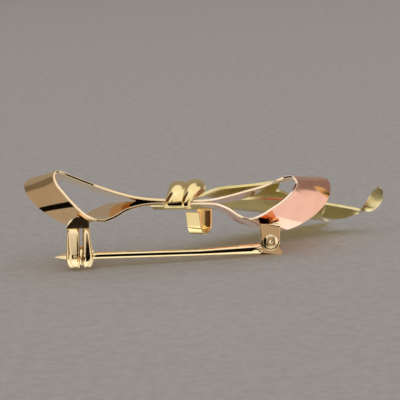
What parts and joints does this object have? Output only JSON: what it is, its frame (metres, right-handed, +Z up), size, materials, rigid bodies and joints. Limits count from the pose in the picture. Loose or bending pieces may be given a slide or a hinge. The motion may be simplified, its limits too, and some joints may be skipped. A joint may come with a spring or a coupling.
{
  "type": "bow brooch",
  "caption": "Ribbon bow brooch in yellow, rose and green gold, with loops, curling tails, a puffed knot, and a hinged pin with rollover catch.",
  "frame": {"origin": "middle of the box's base, on the surface that the brooch lies on", "axes": "+X along the bow towards its long tail, +Y away from the pin's edge, +Z up, out of the front"},
  "size_m": [0.055, 0.0229, 0.015],
  "materials": {
    "yellow_gold": "polished",
    "rose_gold": "polished",
    "green_gold": "satin",
    "finding_gold": "polished"
  },
  "bodies": {
    "brooch": {"left_loop": "yellow_gold", "right_loop": "rose_gold", "knot": "yellow_gold", "short_tail": "green_gold", "long_tail": "green_gold", "back_curl": "finding_gold", "catch_housing": "finding_gold", "hinge_bracket": "finding_gold", "rivet": "finding_gold"},
    "roller": {"catch_roller": "finding_gold"},
    "pin": {"pin_stem": "finding_gold"}
  },
  "joints": [
    {"name": "pin_swing", "type": "hinge", "parent": "brooch", "child": "pin", "pos_m": [0.00929, -0.00844, 0.00212], "axis": [0.0138, -0.9802, 0.1974], "range_deg": [0, 70]},
    {"name": "roller_turn", "type": "hinge", "parent": "brooch", "child": "roller", "pos_m": [-0.01904, -0.00888, 0.00192], "axis": [0.9992, 0.0062, -0.0391], "range_deg": [0, 100]}
  ]
}
